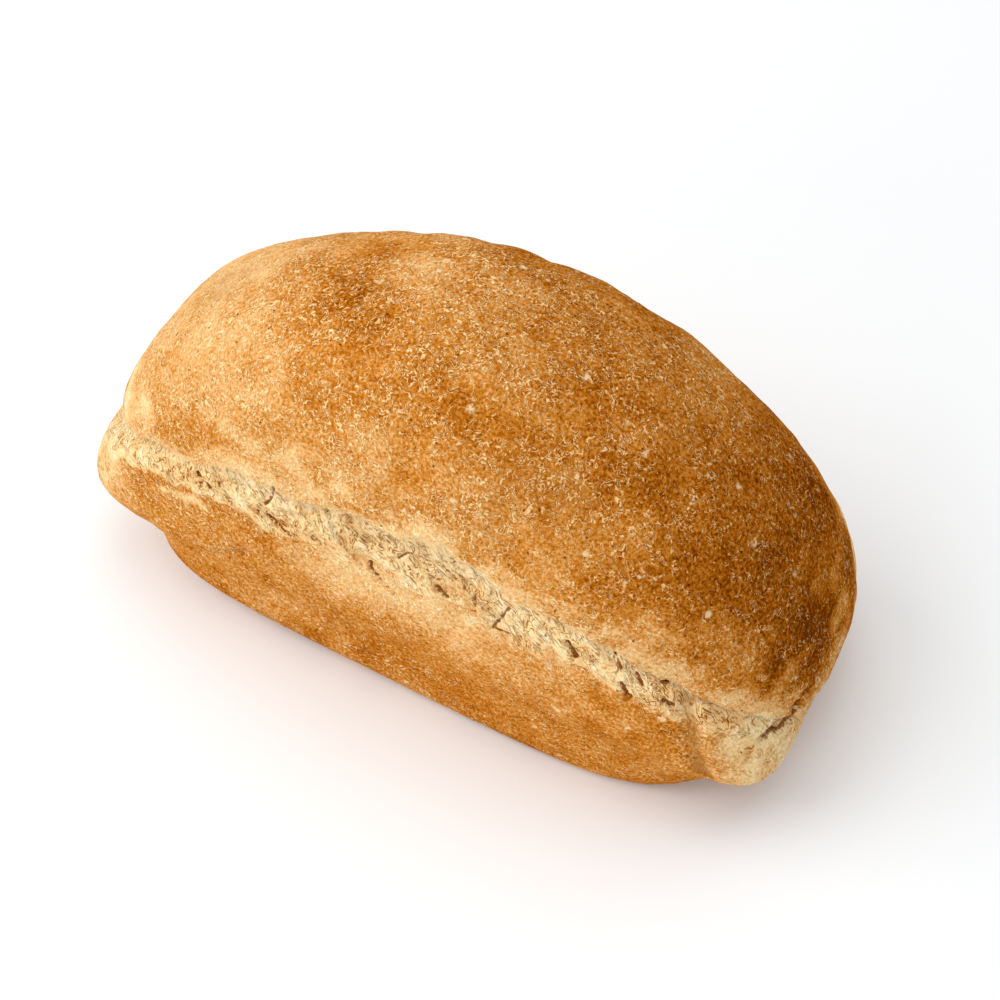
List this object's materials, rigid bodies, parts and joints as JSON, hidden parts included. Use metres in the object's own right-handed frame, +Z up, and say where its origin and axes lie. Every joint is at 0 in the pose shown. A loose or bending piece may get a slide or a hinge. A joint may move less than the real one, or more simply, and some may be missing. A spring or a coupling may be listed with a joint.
{
  "type": "whole wheat loaf",
  "caption": "Uncut whole wheat tin loaf: flat base, straight lower walls, a torn pale band round the sides, a domed bran-flecked crust and ends that hang over as ears.",
  "frame": {"origin": "centre of the bounding box at the height of the flat base", "axes": "+Z up from the base, +X along the loaf towards its slightly wider end"},
  "size_m": [0.2598, 0.118, 0.144],
  "materials": {
    "crust": "dry baked crust, golden brown with pale bran flecks, a cream torn band and darker lower walls"
  },
  "bodies": {
    "root": {"loaf": "crust"}
  },
  "joints": []
}
